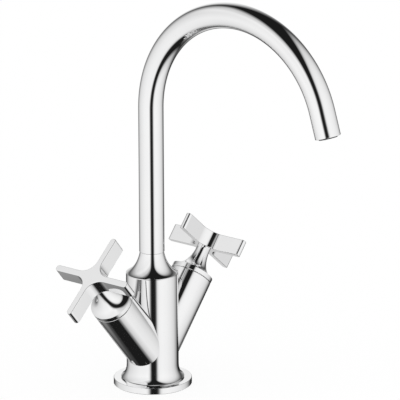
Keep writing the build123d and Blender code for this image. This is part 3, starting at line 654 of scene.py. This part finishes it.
def finish_material(name, finish, turn):
    """Patches vary colour and roughness. A finer grain, set on the piece's axis, gives relief."""
    material = bpy.data.materials.new(name)
    material.use_nodes = True
    tree = material.node_tree
    shader = tree.nodes["Principled BSDF"]
    shader.inputs["Metallic"].default_value = finish["metallic"]
    place = add_node(tree, "ShaderNodeTexCoord", {}, {})["Object"]
    settings = {"rotation_type": "EULER_XYZ", "invert": True}
    place = add_node(tree, "ShaderNodeVectorRotate", settings, {"Vector": place, "Rotation": turn})[0]
    patches = noise_node(tree, place, [finish["patch"]] * 3)
    across, along = finish["grain"]
    grain = noise_node(tree, place, (across, across, along))
    ramp = add_node(tree, "ShaderNodeValToRGB", {}, {"Fac": patches})["Color"]
    elements = ramp.node.color_ramp.elements
    for element, position, colour in zip(elements, (NOISE_LOW, NOISE_HIGH), finish["colours"]):
        element.position = position
        element.color = (*colour, 1)
    relief = {"Distance": finish["depth"], "Height": grain}
    bump = add_node(tree, "ShaderNodeBump", {}, relief)["Normal"]
    tree.links.new(ramp, shader.inputs["Base Color"])
    roughness = range_node(tree, patches, *finish["roughness"])
    tree.links.new(roughness, shader.inputs["Roughness"])
    tree.links.new(bump, shader.inputs["Normal"])
    return material


# Assembly

def dress(piece, node, body, mirrored=True):
    """A finished outer piece stands for its CAD node and moves with its body.

    A piece that isn't mirrored leaves no reflection in the other pieces, as in the photograph.
    """
    piece.data.materials.append(CHROME)
    piece.visible_glossy = mirrored
    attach(piece, body)
    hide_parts(node)


def dress_inner_nodes():
    """Each CAD node that stays gets its slot's finish. Its grain follows the column or its arm."""
    materials = {}
    for row in frame["record"]["subparts"]:
        node, slot = row["node"], row["material_slot"]
        if slot == "chrome":
            continue
        side = node.split("_")[0]
        name = f"{side}_{slot}" if side in SIDES else slot
        turn = arm_place(side).to_euler() if side in SIDES else UPRIGHT
        if name not in materials:
            materials[name] = finish_material(name, FINISHES[slot], turn)
        inner = frame["nodes"][node]
        inner.visible_glossy = False
        inner.data.materials.clear()
        inner.data.materials.append(materials[name])


CHROME = finish_material("polished_chrome", FINISHES["chrome"], UPRIGHT)
dress(make_base_ring(), "base_ring", "mixer", mirrored=False)
body, foot_patch = make_body()
dress(body, "mixer_body", "mixer")
dress(foot_patch, "mixer_body", "mixer", mirrored=False)
dress(make_bell(), "bell_nut", "mixer")
leg, gooseneck = make_tube()
dress(leg, "spout_tube", "spout")
dress(gooseneck, "spout_tube", "spout", mirrored=False)
for side in SIDES:
    cap, stem = make_stem(side)
    blades, underside = make_cross(side)
    dress(cap, f"{side}_handle_stem", f"{side}_handle")
    dress(stem, f"{side}_handle_stem", f"{side}_handle", mirrored=side == "cold")
    dress(blades, f"{side}_handle_cross", f"{side}_handle", mirrored=False)
    dress(underside, f"{side}_handle_cross", f"{side}_handle", mirrored=side == "cold")
dress_inner_nodes()


# Camera, floor and studio

def add_camera():
    """Camera of the photograph, aimed to the right of the column."""
    level, ahead = camera_level()
    back = ahead * cos(CAMERA_ELEVATION) + Vector((0, 0, sin(CAMERA_ELEVATION)))
    upright = back.cross(level)
    right = level * cos(CAMERA_ROLL) + upright * sin(CAMERA_ROLL)
    up = upright * cos(CAMERA_ROLL) - level * sin(CAMERA_ROLL)
    aim = level * CAMERA_AIM_RIGHT + Vector((0, 0, CAMERA_AIM_UP))
    camera = bpy.data.objects.new("camera", bpy.data.cameras.new("camera"))
    camera.data.lens = CAMERA_LENS
    camera.data.sensor_width = CAMERA_SENSOR
    turn = Matrix((right, up, back)).transposed()
    camera.matrix_world = Matrix.Translation(aim + back * CAMERA_DISTANCE) @ turn.to_4x4()
    bpy.context.scene.collection.objects.link(camera)
    bpy.context.scene.camera = camera


def camera_level():
    """Level directions to the camera's right, and from the object to the camera."""
    return (
        Vector((cos(CAMERA_AZIMUTH), sin(CAMERA_AZIMUTH), 0)),
        Vector((sin(CAMERA_AZIMUTH), -cos(CAMERA_AZIMUTH), 0)),
    )


def math_node(tree, operation, first, second):
    """Result of one operation on two sockets or plain values."""
    return add_node(tree, "ShaderNodeMath", {"operation": operation}, {0: first, 1: second})[0]


def profile_node(tree, angle, stops):
    """Light by an angle in radians, between stops in degrees. Half a turn spans the whole ramp."""
    place = math_node(tree, "MULTIPLY_ADD", angle, 1 / pi)
    place.node.inputs[2].default_value = 0.5
    ramp = add_node(tree, "ShaderNodeValToRGB", {}, {"Fac": place})["Color"]
    elements = ramp.node.color_ramp.elements
    while len(elements) < len(stops):
        elements.new(1.0)
    for element, (degrees, light) in zip(elements, stops):
        element.position = degrees / 180 + 0.5
        element.color = (light, light, light, 1)
    return ramp


def panel_node(tree, direction, panel):
    """Light from one soft panel of the tent, by the direction from the tent's centre."""
    level, ahead = camera_level()
    turn = radians(panel["azimuth"])
    centre = level * sin(turn) + ahead * cos(turn)
    across = level * cos(turn) - ahead * sin(turn)
    parts = []
    for axis in (centre, across, Vector((0, 0, 1))):
        settings = {"operation": "DOT_PRODUCT"}
        parts.append(add_node(tree, "ShaderNodeVectorMath", settings, {0: direction, 1: axis})["Value"])
    light = math_node(tree, "GREATER_THAN", parts[0], 0.0)
    for part, stops in ((parts[1], panel["across"]), (parts[2], panel["up"])):
        angle = math_node(tree, "ARCTAN2", part, parts[0])
        light = math_node(tree, "MULTIPLY", light, profile_node(tree, angle, stops))
    return light


def add_tent():
    """Dark round tent with soft panels. Only the shine on the metal shows it."""
    level, ahead = camera_level()
    right, front, up = TENT_CENTRE
    centre = level * right + ahead * front + Vector((0, 0, up))
    shell = bmesh.new()
    bmesh.ops.create_icosphere(shell, subdivisions=TENT_SUBDIVISIONS, radius=TENT_RADIUS)
    mesh = bpy.data.meshes.new("light_tent")
    shell.to_mesh(mesh)
    shell.free()
    tent = bpy.data.objects.new("light_tent", mesh)
    tent.location = centre
    bpy.context.scene.collection.objects.link(tent)
    tent.visible_camera = False
    tent.visible_diffuse = False
    tent.visible_shadow = False
    tent.visible_transmission = False
    material = bpy.data.materials.new("light_tent")
    material.use_nodes = True
    tree = material.node_tree
    tree.nodes.remove(tree.nodes["Principled BSDF"])
    direction = add_node(tree, "ShaderNodeTexCoord", {}, {})["Object"]
    light = TENT_DARK
    for panel in PANELS:
        light = math_node(tree, "ADD", light, panel_node(tree, direction, panel))
    glow = add_node(tree, "ShaderNodeEmission", {}, {"Color": (1, 1, 1, 1), "Strength": light})[0]
    tree.links.new(glow, tree.nodes["Material Output"].inputs["Surface"])
    mesh.materials.append(material)


def add_world():
    """White world, which shows behind the part and fills the shadow."""
    world = bpy.data.worlds.new("white")
    bpy.context.scene.world = world
    world.use_nodes = True
    background = world.node_tree.nodes["Background"]
    background.inputs["Color"].default_value = (1, 1, 1, 1)
    background.inputs["Strength"].default_value = 1.0


def add_floor():
    """Square floor under the base."""
    mesh = bpy.data.meshes.new("floor")
    corners = [(x * FLOOR_REACH, y * FLOOR_REACH, 0) for x, y in ((-1, -1), (1, -1), (1, 1), (-1, 1))]
    mesh.from_pydata(corners, [], [(0, 1, 2, 3)])
    floor = bpy.data.objects.new("floor", mesh)
    bpy.context.scene.collection.objects.link(floor)
    mesh.materials.append(floor_material())


def floor_material():
    """White floor that takes a soft shadow and leaves the metal's reflections to the studio."""
    material = bpy.data.materials.new("floor")
    material.use_nodes = True
    tree = material.node_tree
    tree.nodes.remove(tree.nodes["Principled BSDF"])
    diffuse = add_node(tree, "ShaderNodeBsdfDiffuse", {}, {"Color": (1, 1, 1, 1)})[0]
    glow = add_node(tree, "ShaderNodeEmission", {}, {"Color": (1, 1, 1, 1), "Strength": 1.0})[0]
    pale = add_node(tree, "ShaderNodeMixShader", {}, {0: FLOOR_GLOW, 1: diffuse, 2: glow})[0]
    clear = add_node(tree, "ShaderNodeBsdfTransparent", {}, {})[0]
    shine = add_node(tree, "ShaderNodeLightPath", {}, {})["Is Glossy Ray"]
    surface = add_node(tree, "ShaderNodeMixShader", {}, {0: shine, 1: pale, 2: clear})[0]
    tree.links.new(surface, tree.nodes["Material Output"].inputs["Surface"])
    return material


add_world()
add_tent()
add_floor()
add_camera()
bpy.context.scene.view_settings.view_transform = "Standard"
